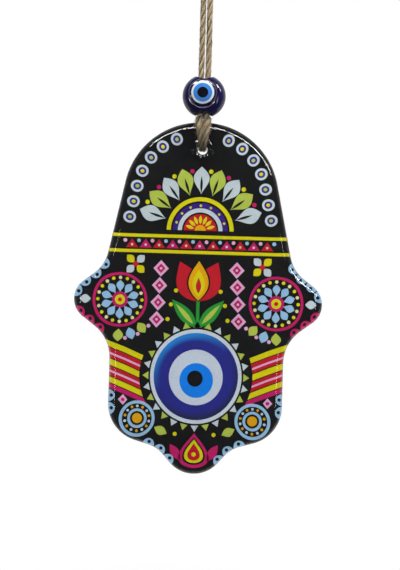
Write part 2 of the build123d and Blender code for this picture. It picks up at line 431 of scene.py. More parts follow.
def face_outwards(mesh):
    """Turns every face of a closed mesh outwards."""
    work = bmesh.new()
    work.from_mesh(mesh)
    bmesh.ops.recalc_face_normals(work, faces=work.faces)
    work.to_mesh(mesh)
    work.free()


# Fused glass: the two sheets as one body, with the soft shoulder that the kiln gives its edges.
# The kiln also draws the hole in a little and raises a low lip round it.
SHOULDER_WIDTH = 5.4
BACK_SHOULDER_WIDTH = 1.8
RIM_DEPTH = 0.6
HOLE_RADIUS = 1.7
HOLE_FLARE = 0.3
HOLE_SHOULDER = 1.3
LIP_WIDTH = 2.0
LIP_HEIGHT = 0.38
LIP_STEPS = 24
SHOULDER_STEPS = 16
HOLE_STEPS = 72


def quarter_round(width, edge, face):
    """Steps of a rounded edge, from its outermost line to the flat face.

    Each has the distance in from the edge in millimetres, the depth in metres, and how far the normal
    leans outwards and along Y.
    """
    steps = []
    for k in range(SHOULDER_STEPS + 1):
        angle = math.pi / 2 * k / SHOULDER_STEPS
        inset = width * (1 - math.cos(angle))
        depth = edge + (face - edge) * math.sin(angle)
        lean = abs(face - edge) * math.cos(angle)
        along_y = math.copysign(width * MM, face - edge) * math.sin(angle)
        steps.append((inset, depth, lean, along_y))
    return steps


def lip():
    """Steps of the low lip from its outside to the hole's flare, like those of a rounded edge."""
    steps = []
    for k in range(LIP_STEPS):
        turn = 2 * math.pi * k / LIP_STEPS
        inset = HOLE_FLARE + LIP_WIDTH * (1 - k / LIP_STEPS)
        rise = LIP_HEIGHT * (1 - math.cos(turn)) / 2
        lean = -math.pi * LIP_HEIGHT / LIP_WIDTH * math.sin(turn)
        steps.append((inset, front_face - rise * MM, lean, -1.0))
    return steps


def build_glass():
    """Both sheets as one closed body: rings round outline and hole, joined by two flat faces."""
    vertices, normals, faces = [], [], []

    def add_ring(points, outward, depth, lean, along_y):
        """Adds a ring of points with their normals, and returns their numbers."""
        first = len(vertices)
        for point, out in zip(points, outward):
            vertices.append(Vector((point.x * MM, depth, plate_top + point.y * MM)))
            normals.append(Vector((out.x * lean, along_y, out.y * lean)).normalized())
        return list(range(first, len(vertices)))

    back_edge = quarter_round(BACK_SHOULDER_WIDTH, RIM_DEPTH * MM, back_face)
    front_edge = quarter_round(SHOULDER_WIDTH, RIM_DEPTH * MM, front_face)
    rings = []
    for inset, depth, lean, along_y in back_edge[::-1] + front_edge[1:]:
        rings.append(add_ring(*hand_loop(inset), depth, lean, along_y))
    turns = [2 * math.pi * k / HOLE_STEPS for k in range(HOLE_STEPS)]
    spokes = [Vector((math.cos(turn), math.sin(turn))) for turn in turns]
    into_hole = [-spoke for spoke in spokes]
    hole_middle = Vector((0, -HOLE_DROP))
    front_hole = quarter_round(HOLE_FLARE, front_face + HOLE_SHOULDER * MM, front_face)
    back_hole = quarter_round(HOLE_SHOULDER, back_face - HOLE_SHOULDER * MM, back_face)
    hole_rings = []
    for inset, depth, lean, along_y in lip() + front_hole[::-1] + back_hole:
        points = [hole_middle + spoke * (HOLE_RADIUS + inset) for spoke in spokes]
        hole_rings.append(add_ring(points, into_hole, depth, lean, along_y))
    for set_of_rings in (rings, hole_rings):
        for first, second in zip(set_of_rings, set_of_rings[1:]):
            count = len(first)
            for k in range(count):
                after = (k + 1) % count
                faces.append((first[k], first[after], second[after], second[k]))
    for outer, inner in ((rings[-1], hole_rings[0]), (rings[0], hole_rings[-1])):
        borders = [[vertices[i] for i in outer], [vertices[i] for i in inner]]
        index = outer + inner
        for triangle in tessellate_polygon(borders):
            faces.append(tuple(index[i] for i in triangle))
    mesh = mesh_from("hand_glass", vertices, faces)
    face_outwards(mesh)
    mesh.shade_smooth()
    mesh.normals_split_custom_set_from_vertices(normals)
    return new_object("hand_glass", mesh)


glass = build_glass()
put(clear_glass(), glass)
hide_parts("front_glass", "base_glass")
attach(glass, "plate")

# Printed pattern: flat enamel shapes in layers, seen from both sides through the glass.
# Positions are millimetres across from the middle and down from the top of the hand.
LAYER = 0.02 * MM
PRINT_HOLE_RADIUS = 3.0
PRINT_MARGIN = 0.6
PRINT_GAP = 0.05
LEAF_STEPS = 16
DROP_STEPS = 48
DROP_SHARPNESS = 1.4
DROP_FULLNESS = 1.25
STRIPE_STEPS = 14
BISECT_STEPS = 24
SCALLOP_GAP = 4.4
SCALLOP_RADIUS = 2.0
SCALLOP_CORE = 0.02
SCALLOP_EYE = 0.3 * SCALLOP_RADIUS
SCALLOP_EYE_REACH = 0.45 * SCALLOP_RADIUS
shapes = {}


def paint(colour, layer, points, mirrored=False):
    """Adds a shape to its colour's list, and again on the left if it is mirrored."""
    shapes.setdefault(colour, []).append((layer, points))
    if mirrored:
        shapes[colour].append((layer, [(-x, drop) for x, drop in reversed(points)]))


def disc(x, drop, radius, count=40):
    steps = [2 * math.pi * k / count for k in range(count)]
    return [(x + radius * math.cos(a), drop + radius * math.sin(a)) for a in steps]


def polar(x, drop, angle, reach):
    """Point at a reach from a centre, at an angle in degrees clockwise from straight up."""
    turn = math.radians(angle)
    return x + reach * math.sin(turn), drop - reach * math.cos(turn)


def along(x, drop, angle, outline):
    """Places an outline of (forward, sideways) pairs at a point, pointing at an angle."""
    turn = math.radians(angle)
    return [
        (x + f * math.sin(turn) + s * math.cos(turn), drop - f * math.cos(turn) + s * math.sin(turn))
        for f, s in outline
    ]


def leaf(x, drop, angle, start, end, half_width, fullness=0.5):
    """Leaf with two pointed ends, its widest place at fullness of its length."""
    power = math.log(0.5) / math.log(fullness)
    steps = [k / LEAF_STEPS for k in range(LEAF_STEPS + 1)]
    right = [(start + (end - start) * t, half_width * math.sin(math.pi * t ** power)) for t in steps]
    left = [(f, -s) for f, s in reversed(right[1:-1])]
    return along(x, drop, angle, right + left)


def teardrop(x, drop, angle, length, half_width):
    """Drop with its point at the given place and its round end further along."""
    outline = []
    for k in range(DROP_STEPS):
        turn = 2 * math.pi * k / DROP_STEPS
        sideways = half_width * math.sin(turn) * math.sin(turn / 2) ** DROP_SHARPNESS * DROP_FULLNESS
        outline.append((length * (1 - math.cos(turn)) / 2, sideways))
    return along(x, drop, angle, outline)


def lozenge(x, drop, half_width, half_height):
    upper, lower = drop - half_height, drop + half_height
    return [(x, upper), (x + half_width, drop), (x, lower), (x - half_width, drop)]


def band(x, drop, inner, outer, start, end, count=40):
    """Piece of a ring between two angles, clockwise from straight up."""
    angles = [start + (end - start) * k / count for k in range(count + 1)]
    out = [polar(x, drop, a, outer) for a in angles]
    back = [polar(x, drop, a, inner) for a in reversed(angles)]
    return out + back


def target(x, drop, rings, layer, count):
    """Discs on top of each other, on both sides, from a layer upwards."""
    for above, (colour, radius) in enumerate(rings):
        paint(colour, layer + above, disc(x, drop, radius, count), mirrored=True)


def ring_of_dots(x, drop, reach, number, radius, colours, layer, count):
    """Dots in two colours in turn round a centre, on both sides."""
    for k in range(number):
        spot = polar(x, drop, 360.0 / number * k, reach)
        paint(colours[k % 2], layer, disc(*spot, radius, count), mirrored=True)


edge_loop = [(p.x, -p.y) for p in hand_loop(PRINT_MARGIN + PRINT_GAP)[0]]


def print_reach(drop):
    """Half of the printed width at a level."""
    reach = 0.0
    for (x0, d0), (x1, d1) in zip(edge_loop, edge_loop[1:] + edge_loop[:1]):
        if min(d0, d1) <= drop <= max(d0, d1) and d0 != d1:
            reach = max(reach, x0 + (x1 - x0) * (drop - d0) / (d1 - d0))
    return reach


def bisect(test, low, high):
    """Where a test that holds at low stops holding before high."""
    for step in range(BISECT_STEPS):
        middle = (low + high) / 2
        low, high = (middle, high) if test(middle) else (low, middle)
    return low


def spaced(inset, gap, first, last):
    """Places and outward angles along the outline's right, between two lengths from the top."""
    points, normals = hand_loop(inset)
    places, passed, wanted = [], 0.0, first
    for k in range(1, len(points)):
        step = (points[k] - points[k - 1]).length
        while passed + step >= wanted and wanted <= last and step > 0:
            share = (wanted - passed) / step
            spot = points[k - 1].lerp(points[k], share)
            out = normals[k - 1].lerp(normals[k], share)
            places.append((spot.x, -spot.y, math.degrees(math.atan2(out.x, out.y))))
            wanted += gap
        passed += step
    return places


def scallops(colour, first, last):
    """Half rounds that hang from the print's edge, between two lengths from the top."""
    for x, drop, angle in spaced(PRINT_MARGIN + PRINT_GAP, SCALLOP_GAP, first, last):
        half_round = band(x, drop, SCALLOP_CORE, SCALLOP_RADIUS, angle + 90.0, angle + 270.0, 20)
        paint(colour, 1, half_round, mirrored=True)
        spot = polar(x, drop, angle + 180.0, SCALLOP_EYE_REACH)
        paint("black", 2, disc(*spot, SCALLOP_EYE, 16), mirrored=True)


# Crown: the ground up to the hole, a border of round eyelets under the edge, and a fan of leaves
paint("black", 0, band(0, HOLE_DROP, HOLE_RADIUS + PRINT_GAP, PRINT_HOLE_RADIUS, 0.5, 359.5, 80))
FAN_DROP = 37.0
FAN_LEAVES = 9
FAN_STEP = 18.0
for k, (x, drop, angle) in enumerate(spaced(4.6, 5.4, 8.4, 44.0)):
    paint("pale", 1, disc(x, drop, 2.0), mirrored=True)
    paint("purple", 2, disc(x, drop, 1.25, 28), mirrored=True)
    paint("yellow" if k % 2 else "lime", 3, disc(x, drop, 0.6, 20), mirrored=True)
for k in range(FAN_LEAVES):
    angle = FAN_STEP * (k - (FAN_LEAVES - 1) / 2)
    colour = "lime" if k % 2 else "pale"
    paint(colour, 1, leaf(0, FAN_DROP, angle, 12.4, 21.8, 2.7, fullness=0.58))
    paint("black", 2, leaf(0, FAN_DROP, angle, 12.6, 18.6, 0.42))
for k in range(FAN_LEAVES - 1):
    spot = polar(0, FAN_DROP, FAN_STEP * (k - (FAN_LEAVES - 2) / 2), 20.4)
    paint("magenta" if k % 2 else "yellow", 1, disc(*spot, 0.75, 20))

# Rising sun under the fan
SUN_RINGS = [
    ("yellow", 11.4), ("black", 10.0), ("purple", 9.4), ("pale", 7.6), ("black", 6.2), ("red", 5.6),
]
SUN_CORE = 0.05
SUN_RAYS = 7
SUN_STEP = 24.0
for layer, (colour, radius) in enumerate(SUN_RINGS, start=1):
    paint(colour, layer, band(0, FAN_DROP, SUN_CORE, radius, -90.0, 90.0))
for k in range(SUN_RAYS):
    angle = SUN_STEP * (k - (SUN_RAYS - 1) / 2)
    paint("yellow", 7, leaf(0, FAN_DROP, angle, 2.2, 5.2, 0.55))
    spot = polar(0, FAN_DROP, angle, 8.5)
    paint("yellow", 5, disc(*spot, 0.42, 16))
paint("orange", 8, band(0, FAN_DROP, SUN_CORE, 1.9, -90.0, 90.0, 20))

# Zigzag belt from edge to edge
BELT_DROP = 38.6
BELT_HEIGHT = 6.4
BELT_EDGE = 1.1
TOOTH = 4.6
TOOTH_HALF = 0.46 * TOOTH
TOOTH_TOP = BELT_DROP + 1.7
TOOTH_FOOT = BELT_DROP + BELT_HEIGHT - 1.7
belt_reach = print_reach(BELT_DROP + 2.0)
for upper in (BELT_DROP, BELT_DROP + BELT_HEIGHT - BELT_EDGE):
    lower = upper + BELT_EDGE
    half = min(print_reach(upper), print_reach(lower))
    paint("yellow", 1, [(-half, upper), (half, upper), (half, lower), (-half, lower)])
for k in range(-6, 7):
    x = k * TOOTH
    if abs(x) + TOOTH / 2 < belt_reach:
        points = [(x - TOOTH_HALF, TOOTH_FOOT), (x, TOOTH_TOP), (x + TOOTH_HALF, TOOTH_FOOT)]
        paint("red" if k % 2 else "magenta", 1, points)
        paint("pale", 2, disc(x, TOOTH_FOOT - 1.0, 0.4, 14))
for k in range(-6, 6):
    x = (k + 0.5) * TOOTH
    if abs(x) + TOOTH / 2 < belt_reach:
        paint("light_blue" if k % 2 else "pink", 1, disc(x, BELT_DROP + 2.3, 0.62, 18))

# Tulip in the middle
TULIP_DROP = 61.0
STEM_DROP = 70.0
PETALS = [
    ("black", -0.3, 14.3, 4.0),
    ("orange", 0.2, 13.6, 3.4),
    ("yellow", 1.4, 10.8, 2.1),
    ("red", 2.6, 8.0, 0.9),
]
paint("green", 1, [(-0.55, STEM_DROP), (-0.55, 57.0), (0.55, 57.0), (0.55, STEM_DROP)])
paint("green", 1, leaf(0.4, STEM_DROP, 42.0, 0.0, 12.6, 2.2, fullness=0.45), mirrored=True)
paint("lime", 2, leaf(0.4, STEM_DROP, 42.0, 1.6, 10.6, 0.8, fullness=0.45), mirrored=True)
paint("red", 1, leaf(0.6, TULIP_DROP, 24.0, 0.0, 14.6, 4.3, fullness=0.42), mirrored=True)
for layer, (colour, start, end, half) in enumerate(PETALS, start=2):
    paint(colour, layer, leaf(0, TULIP_DROP, 0.0, start, end, half, fullness=0.45))
for x, drop in ((7.6, 57.6), (9.2, 62.4), (10.2, 67.4)):
    paint("yellow", 1, disc(x, drop, 0.7, 20), mirrored=True)

# Four-petalled rosettes under the belt
ROSETTE_X = 21.6
ROSETTE_DROP = 48.9
for k in range(4):
    petal = leaf(ROSETTE_X, ROSETTE_DROP, 45.0 + 90.0 * k, 0.7, 4.2, 1.35)
    paint("pale" if k % 2 else "yellow", 1, petal, mirrored=True)
paint("red", 2, disc(ROSETTE_X, ROSETTE_DROP, 0.95, 20), mirrored=True)

# Column of pink lozenges beside the tulip
for k, drop in enumerate((50.2, 56.0, 61.8, 67.6)):
    x = 12.9 + 0.35 * k
    paint("pink", 1, lozenge(x, drop, 2.6, 2.8), mirrored=True)
    paint("magenta", 2, lozenge(x, drop, 1.5, 1.65), mirrored=True)
    paint("pale", 3, disc(x, drop, 0.42, 14), mirrored=True)

# Daisy wheels in the thumbs
WHEEL_X = 26.6
WHEEL_DROP = 61.2
target(WHEEL_X, WHEEL_DROP, [("magenta", 9.3), ("black", 8.4)], 1, 64)
ring_of_dots(WHEEL_X, WHEEL_DROP, 7.5, 20, 0.58, ("cream", "yellow"), 3, 16)
for k in range(10):
    petal = leaf(WHEEL_X, WHEEL_DROP, 36.0 * k, 2.5, 6.6, 1.3, fullness=0.6)
    paint("light_blue", 3, petal, mirrored=True)
target(WHEEL_X, WHEEL_DROP, [("magenta", 2.7), ("yellow", 1.7), ("red", 0.7)], 3, 32)
scallops("light_blue", 63.8, 77.5)
scallops("magenta", 84.5, 95.0)
paint("pale", 1, leaf(WHEEL_X, WHEEL_DROP, 90.0, 9.9, 13.4, 1.4), mirrored=True)
for k in range(3):
    angle = 179.0 + 20.0 * k
    blade = leaf(WHEEL_X, WHEEL_DROP, angle, 10.0, 14.2, 1.6)
    paint("light_blue" if k % 2 else "lime", 1, blade, mirrored=True)
    spot = polar(WHEEL_X, WHEEL_DROP, angle + 10.0, 13.2)
    paint("pink", 1, disc(*spot, 0.65, 16), mirrored=True)

# Slanting stripes beside the eye, out to the edge
EYE_DROP = 0.7225 * HAND_HEIGHT
EYE_NARROWING = 0.968
RAY_REACH = 19.3
STRIPE_SLANT = 0.42
STRIPE_X = 30.0
STRIPE_DROP = 74.6
STRIPE_GAP = 0.35
STRIPE_START_LIMIT = 34.0
STRIPE_END_LIMIT = 60.0
STRIPES = [
    ("yellow", 2.6), ("red", 1.5), ("pink", 0.7), ("red", 1.2), ("yellow", 2.8),
    ("red", 1.3), ("pink", 0.7), ("red", 1.3), ("yellow", 2.6), ("magenta", 1.6),
]


def slanted_line(line_drop):
    """Points of a slanting line on the right, from the rays round the eye to the print's edge."""

    def level(x):
        return line_drop + STRIPE_SLANT * (STRIPE_X - x)

    def within_rays(x):
        return math.hypot(x, level(x) - EYE_DROP) < RAY_REACH

    def within_print(x):
        return x < print_reach(level(x))

    start = bisect(within_rays, 0.0, STRIPE_START_LIMIT)
    end = bisect(within_print, start, STRIPE_END_LIMIT)
    places = [start + (end - start) * k / STRIPE_STEPS for k in range(STRIPE_STEPS + 1)]
    return [(x, level(x)) for x in places]


stripe_drop = STRIPE_DROP
for colour, width in STRIPES:
    gap = STRIPE_GAP if colour == "yellow" else 0.0
    upper_line = slanted_line(stripe_drop + gap)
    lower_line = slanted_line(stripe_drop + width - gap)
    paint(colour, 1, upper_line + lower_line[::-1], mirrored=True)
    stripe_drop += width

# Rays round the eye
RAYS = 28
for k in range(RAYS):
    corners = along(0, EYE_DROP, 360.0 / RAYS * k, [(16.7, -1.35), (18.8, 0.0), (16.7, 1.35)])
    paint("lime" if k % 2 else "pale", 1, [(x * EYE_NARROWING, drop) for x, drop in corners])

# Shells in the lower corners
SHELL_X = 19.6
SHELL_DROP = 101.4
SHELL_RINGS = [
    ("light_blue", 6.0), ("black", 5.0), ("light_blue", 3.3), ("black", 2.4), ("orange", 1.7),
]
scallops("light_blue", 117.2, 122.0)
scallops("light_blue", 140.8, 150.0)
target(SHELL_X, SHELL_DROP, SHELL_RINGS, 2, 48)
ring_of_dots(SHELL_X, SHELL_DROP, 4.15, 14, 0.45, ("pale", "orange"), 4, 14)
paint("lime", 1, leaf(SHELL_X, SHELL_DROP, -116.0, 6.6, 11.4, 1.5), mirrored=True)
paint("pink", 1, lozenge(24.6, 95.2, 1.5, 1.8), mirrored=True)
paint("magenta", 2, disc(24.6, 95.2, 0.6, 16), mirrored=True)

# Pomegranate in the finger tip
FRUIT = [
    ("magenta", 105.9, 11.6, 5.6),
    ("black", 107.3, 9.2, 4.3),
    ("yellow", 108.0, 8.0, 3.6),
    ("red", 109.4, 5.8, 2.4),
]
for layer, (colour, drop, length, half) in enumerate(FRUIT, start=1):
    paint(colour, layer, teardrop(0, drop, 180.0, length, half))
paint("yellow", 5, disc(0, 113.2, 0.75, 20))
paint("magenta", 1, leaf(6.2, 112.6, 34.0, -3.2, 3.4, 1.35), mirrored=True)
paint("yellow", 1, disc(6.6, 106.4, 0.7, 20), mirrored=True)


def build_print(colour, layers):
    """One piece for each colour, its closed shapes standing a layer above what they cover."""
    vertices, faces = [], []
    for layer, points in layers:
        first, count = len(vertices), len(points)
        for depth in (print_front - layer * LAYER, print_back + layer * LAYER):
            vertices += [(x * MM, depth, plate_top - drop * MM) for x, drop in points]
        faces.append(tuple(range(first, first + count)))
        faces.append(tuple(range(first + 2 * count - 1, first + count - 1, -1)))
        for k in range(count):
            after = (k + 1) % count
            faces.append((first + k, first + count + k, first + count + after, first + after))
    mesh = mesh_from("print_" + colour, vertices, faces)
    face_outwards(mesh)
    return new_object("print_" + colour, mesh)


for colour, layers in shapes.items():
    printed = build_print(colour, layers)
    put(enamels[colour], printed)
    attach(printed, "plate")

# Twine: lengths in millimetres, and routes as in the CAD model
TWINE_DIAMETER = 2.0
STRAND_HALF = 1.15
SWING_RISE = 44.0
BEARING_RISE = 0.1
LEG_GAP = 0.3
KNOT_MIDDLE = -33.75
LINE_STEPS = 24
SIDE_LEAST = 0.2
PLIES = 3
PLY_RADIUS = 0.5
PLY_LAY = 0.46
PLY_PITCH = 11.0
PLY_SIDES = 12
PLY_STEP = 0.26
PLY_SWELL = 0.05
SWELL_RATE = 0.9
SWELL_SHIFT = 2.1
PLY_RIDGES = 5
RIDGE_DEPTH = 0.07
RIDGE_TWIST = 1.9
RIDGE_SHIFT = 2.4
STREAK_LENGTH = 2.0
STREAK_PLACES = 300
FIBRES_PER_MM = 1.6
FIBRE_RADIUS = 0.055
FIBRE_THICKNESS = (0.7, 1.2)
FIBRE_SIDES = 4
FIBRE_SPAN = (12, 32)
FIBRE_STRIDE = 2
FIBRE_LAY = 0.95
FIBRE_TURN = 0.8
FIBRE_WANDER = 0.02
HAIR_STEPS = 5
HAIR_RADII = (0.045, 0.025)
HAIR_LENGTH = (0.9, 2.6)
HAIR_ROOT = 0.85
HAIR_LIFT = 0.75
HAIR_BEND = 0.16
HAIR_SAG = 0.1
FRAYS = 46
FRAY_ROOT = (0.1, 0.85)
FRAY_DEPTH = 0.3
FRAY_SPREAD = 0.55
FRAY_LENGTH = (0.7, 1.9)
FRAY_SAG = 0.15
top = plate_top / MM
swing = top + SWING_RISE
hole_pass = top - HOLE_DROP + BEARING_RISE
leg_depth = back_face / MM + LEG_GAP + TWINE_DIAMETER / 2


def travelled(line):
    """Length along a line up to each of its points."""
    return np.concatenate([[0.0], np.cumsum(np.linalg.norm(np.diff(line, axis=0), axis=1))])


def smooth_line(name, points):
    """Points of the smooth line that a route's points steer, evenly spaced, in metres."""
    curve = bpy.data.curves.new(name, "CURVE")
    curve.dimensions = "3D"
    curve.resolution_u = LINE_STEPS
    spline = curve.splines.new("NURBS")
    spline.points.add(len(points) - 1)
    for control, point in zip(spline.points, points):
        control.co = (point[0] * MM, point[1] * MM, point[2] * MM, 1.0)
    spline.order_u = 3
    spline.use_endpoint_u = True
    holder = new_object(name, curve)
    line = bpy.data.meshes.new_from_object(holder)
    raw = np.array([v.co for v in line.vertices], float)
    bpy.data.objects.remove(holder)
    bpy.data.meshes.remove(line)
    lengths = travelled(raw)
    count = int(lengths[-1] / (PLY_STEP * MM)) + 2
    wanted = np.linspace(0.0, lengths[-1], count)
    return np.stack([np.interp(wanted, lengths, raw[:, axis]) for axis in range(3)], axis=1)


def unit(vectors):
    return vectors / np.linalg.norm(vectors, axis=-1, keepdims=True)


def side_frames(line):
    """Tangent and two side directions along a line, turning no more than the line does."""
    tangents = unit(np.gradient(line, axis=0))
    first = np.cross(tangents[0], (0.0, 1.0, 0.0))
    if np.linalg.norm(first) < SIDE_LEAST:
        first = np.cross(tangents[0], (1.0, 0.0, 0.0))
    sides = [unit(first)]
    for tangent in tangents[1:]:
        sides.append(unit(sides[-1] - tangent * np.dot(sides[-1], tangent)))
    sides = np.array(sides)
    return tangents, sides, np.cross(tangents, sides)


def add_tube(build, line, radii, sides_from, phase, ridges=1, ridge_depth=0.0):
    """Adds a closed tube, with fibre ridges if they have a depth, to a mesh under construction."""
    tangents = unit(np.gradient(line, axis=0))
    first = unit(sides_from - tangents * np.sum(sides_from * tangents, axis=1, keepdims=True))
    second = np.cross(tangents, first)
    start, count, sides = len(build["vertices"]), len(line), build["sides"]
    run = travelled(line) / MM
    for k in range(count):
        for j in range(sides):
            turn = 2 * math.pi * j / sides
            ridge = 1 + ridge_depth * math.sin(ridges * turn + RIDGE_TWIST * run[k] + phase)
            ridge += build["random"].uniform(-0.5, 0.5) * ridge_depth
            out = math.cos(turn) * first[k] + math.sin(turn) * second[k]
            build["vertices"].append(tuple(line[k] + radii[k] * ridge * out))
    for k in range(count - 1):
        near, far = start + k * sides, start + (k + 1) * sides
        u0, u1 = run[k] / STREAK_LENGTH + phase, run[k + 1] / STREAK_LENGTH + phase
        for j in range(sides):
            after = (j + 1) % sides
            build["faces"].append((near + j, near + after, far + after, far + j))
            v0, v1 = j / sides, (j + 1) / sides
            build["uvs"] += [(u0, v0), (u0, v1), (u1, v1), (u1, v0)]
    for ring, order in ((start, -1), (start + (count - 1) * sides, 1)):
        build["faces"].append(tuple(ring + j for j in range(sides))[::order])
        build["uvs"] += [(phase, j / sides) for j in range(sides)][::order]


def add_hair(build, root, direction, length, sag, reach):
    """Adds one stray fibre, bent aside by no more than its reach."""
    draw = build["random"]
    bend = Vector([draw.uniform(-1, 1) for axis in range(3)]) * min(HAIR_BEND * length, reach)
    bend.z -= sag
    steps = [k / HAIR_STEPS for k in range(HAIR_STEPS + 1)]
    line = np.array([tuple(root + direction * (length * t) + bend * (t * t)) for t in steps])
    radii = np.linspace(*HAIR_RADII, len(steps)) * MM
    add_tube(build, line, radii, side_frames(line)[1], draw.uniform(0, STREAK_PLACES))


def even(point):
    """Thickness of twine that is the same all along."""
    return 1.0


def twine_piece(name, line, seed, hair_share, hair_rule, thickness=even, frayed=False):
    """Three-ply twine along a line, with fibres laid on it, stray fibres and perhaps a frayed end."""
    draw = random.Random(seed)
    build = {"vertices": [], "faces": [], "uvs": [], "sides": PLY_SIDES, "random": draw}
    tangents, first, second = side_frames(line)
    run = travelled(line) / MM
    turn = 2 * math.pi * run / PLY_PITCH
    thick = np.array([thickness(point / MM) for point in line])

    def away(spots, angles):
        """Directions away from the line at some of its points."""
        return np.cos(angles)[..., None] * first[spots] + np.sin(angles)[..., None] * second[spots]

    for ply in range(PLIES):
        out = away(slice(None), turn + 2 * math.pi * ply / PLIES)
        centre = line + out * (PLY_LAY * MM * thick)[:, None]
        swell = 1 + PLY_SWELL * np.sin(run * SWELL_RATE + ply * SWELL_SHIFT + seed)
        radii = PLY_RADIUS * MM * thick * swell
        add_tube(build, centre, radii, out, ply * RIDGE_SHIFT + seed, PLY_RIDGES, RIDGE_DEPTH)
    build["sides"] = FIBRE_SIDES
    for k in range(int(run[-1] * FIBRES_PER_MM)):
        span = draw.randrange(*FIBRE_SPAN)
        start = draw.randrange(1, max(2, len(line) - span - 2))
        spots = np.arange(start, min(start + span, len(line) - 1), FIBRE_STRIDE)
        wander = draw.uniform(-FIBRE_WANDER, FIBRE_WANDER) * (spots - start)
        out = away(spots, draw.uniform(0, 2 * math.pi) + FIBRE_TURN * turn[spots] + wander)
        laid = line[spots] + out * (FIBRE_LAY * MM * thick[spots])[:, None]
        radii = FIBRE_RADIUS * MM * draw.uniform(*FIBRE_THICKNESS) * np.ones(len(spots))
        add_tube(build, laid, radii, out, draw.uniform(0, STREAK_PLACES))
    for k in range(int(run[-1] * hair_share)):
        spot = draw.randrange(2, len(line) - 2)
        out = Vector(away(spot, draw.uniform(0, 2 * math.pi)))
        reach = hair_rule(line[spot] / MM, out)
        if draw.random() > reach:
            continue
        forward = Vector(tangents[spot]) * draw.choice((-1, 1))
        length = draw.uniform(*HAIR_LENGTH) * MM
        lift = min(HAIR_LIFT, reach * MM / length)
        direction = (forward * math.sqrt(1 - lift * lift) + out * lift).normalized()
        root = Vector(line[spot]) + out * (HAIR_ROOT * MM * thick[spot])
        add_hair(build, root, direction, length, HAIR_SAG * reach * MM, reach * MM)
    if frayed:
        ahead = Vector(tangents[-1])
        for k in range(FRAYS):
            out = Vector(away(-1, draw.uniform(0, 2 * math.pi)))
            root = Vector(line[-1]) + out * (draw.uniform(*FRAY_ROOT) * MM) - ahead * (FRAY_DEPTH * MM)
            direction = (ahead + out * draw.uniform(0.0, FRAY_SPREAD)).normalized()
            length = draw.uniform(*FRAY_LENGTH) * MM
            add_hair(build, root, direction, length, FRAY_SAG * MM, length)
    mesh = mesh_from(name, build["vertices"], build["faces"])
    uv_layer = mesh.uv_layers.new(name="along")
    uv_layer.data.foreach_set("uv", [value for pair in build["uvs"] for value in pair])
    mesh.shade_smooth()
    piece = new_object(name, mesh)
    put(jute_material, piece)
    return piece


# Slings: from the knot through the bead, through the hand's hole and back
SLING_HAIRS = 20.0
HAIR_NEAR_BEAD = 0.16
HAIR_FREE = 0.95
BEAD_LEVEL = top + 1.0
GLASS_DEPTH = 3.0
front_run = [
    (STRAND_HALF, -STRAND_HALF, swing + 4.0),
    (STRAND_HALF, -STRAND_HALF, swing),
    (STRAND_HALF, -STRAND_HALF, top + 33.0),
    (STRAND_HALF + 0.05, -STRAND_HALF - 0.05, top + 20.0),
    (STRAND_HALF, -STRAND_HALF, top + 6.5),
    (0.78, -1.25, top + 1.9),
    (1.5, -3.8, top + 0.9),
    (1.05, -4.3, top - 2.0),
    (0.5, -leg_depth, hole_pass),
]
sling_route = front_run + [(x, -y, z) for x, y, z in reversed(front_run)]


def sling_hairs(point, out):
    """How far a stray fibre may stand out: little in the bead's way, none towards the glass."""
    if point[2] > BEAD_LEVEL:
        return HAIR_NEAR_BEAD
    if abs(point[1]) < GLASS_DEPTH or out.y * point[1] < 0:
        return 0.0
    return HAIR_FREE


# Thickness of the loose twine at the front, by its height above the hand's top.
# It is spread over the edge and tight in the hole.
LOOSE_LEVELS = (-9.5, -6.8, -5.1, -3.2, -1.6, -0.5, 0.6, 1.6, 3.2)
LOOSE_SHARES = (0.76, 0.86, 1.08, 1.25, 1.45, 1.55, 1.4, 1.08, 1.0)


def loose_twine(point):
    """Thickness of a sling at a point, as a share of the twine's own."""
    share = float(np.interp(point[2] - top, LOOSE_LEVELS, LOOSE_SHARES))
    return share if point[1] < 0 else min(share, 1.0)


for side, sign, seed in (("right", 1, 3), ("left", -1, 7)):
    line = smooth_line("sling_line", [(sign * x, y, z) for x, y, z in sling_route])
    sling = twine_piece("sling_" + side, line, seed, SLING_HAIRS, sling_hairs, loose_twine)
    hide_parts("drop_twine_" + side)
    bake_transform(sling)

# Hanging loop, knot and cut ends
HANGER_HAIRS = 4.0
HAIR_LOOSE = 0.9
LOOP_SEED = 12
KNOT_SEED = 21
END_SEED = 30


def loose_hairs(point, out):
    """How far a stray fibre may stand out where nothing is in its way."""
    return HAIR_LOOSE


right_leg = [
    (0.9, 0, -32.0),
    (STRAND_HALF, 0, -30.0),
    (4.6, 0, -19.5),
    (6.9, 0, -9.0),
    (5.0, 0, TWINE_DIAMETER / 2),
]
loop_line = smooth_line("loop_line", right_leg + [(-x, y, z) for x, y, z in reversed(right_leg)])
loop = twine_piece("loop", loop_line, LOOP_SEED, HANGER_HAIRS, loose_hairs)
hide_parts("hanging_loop")
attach(loop, "hanger")

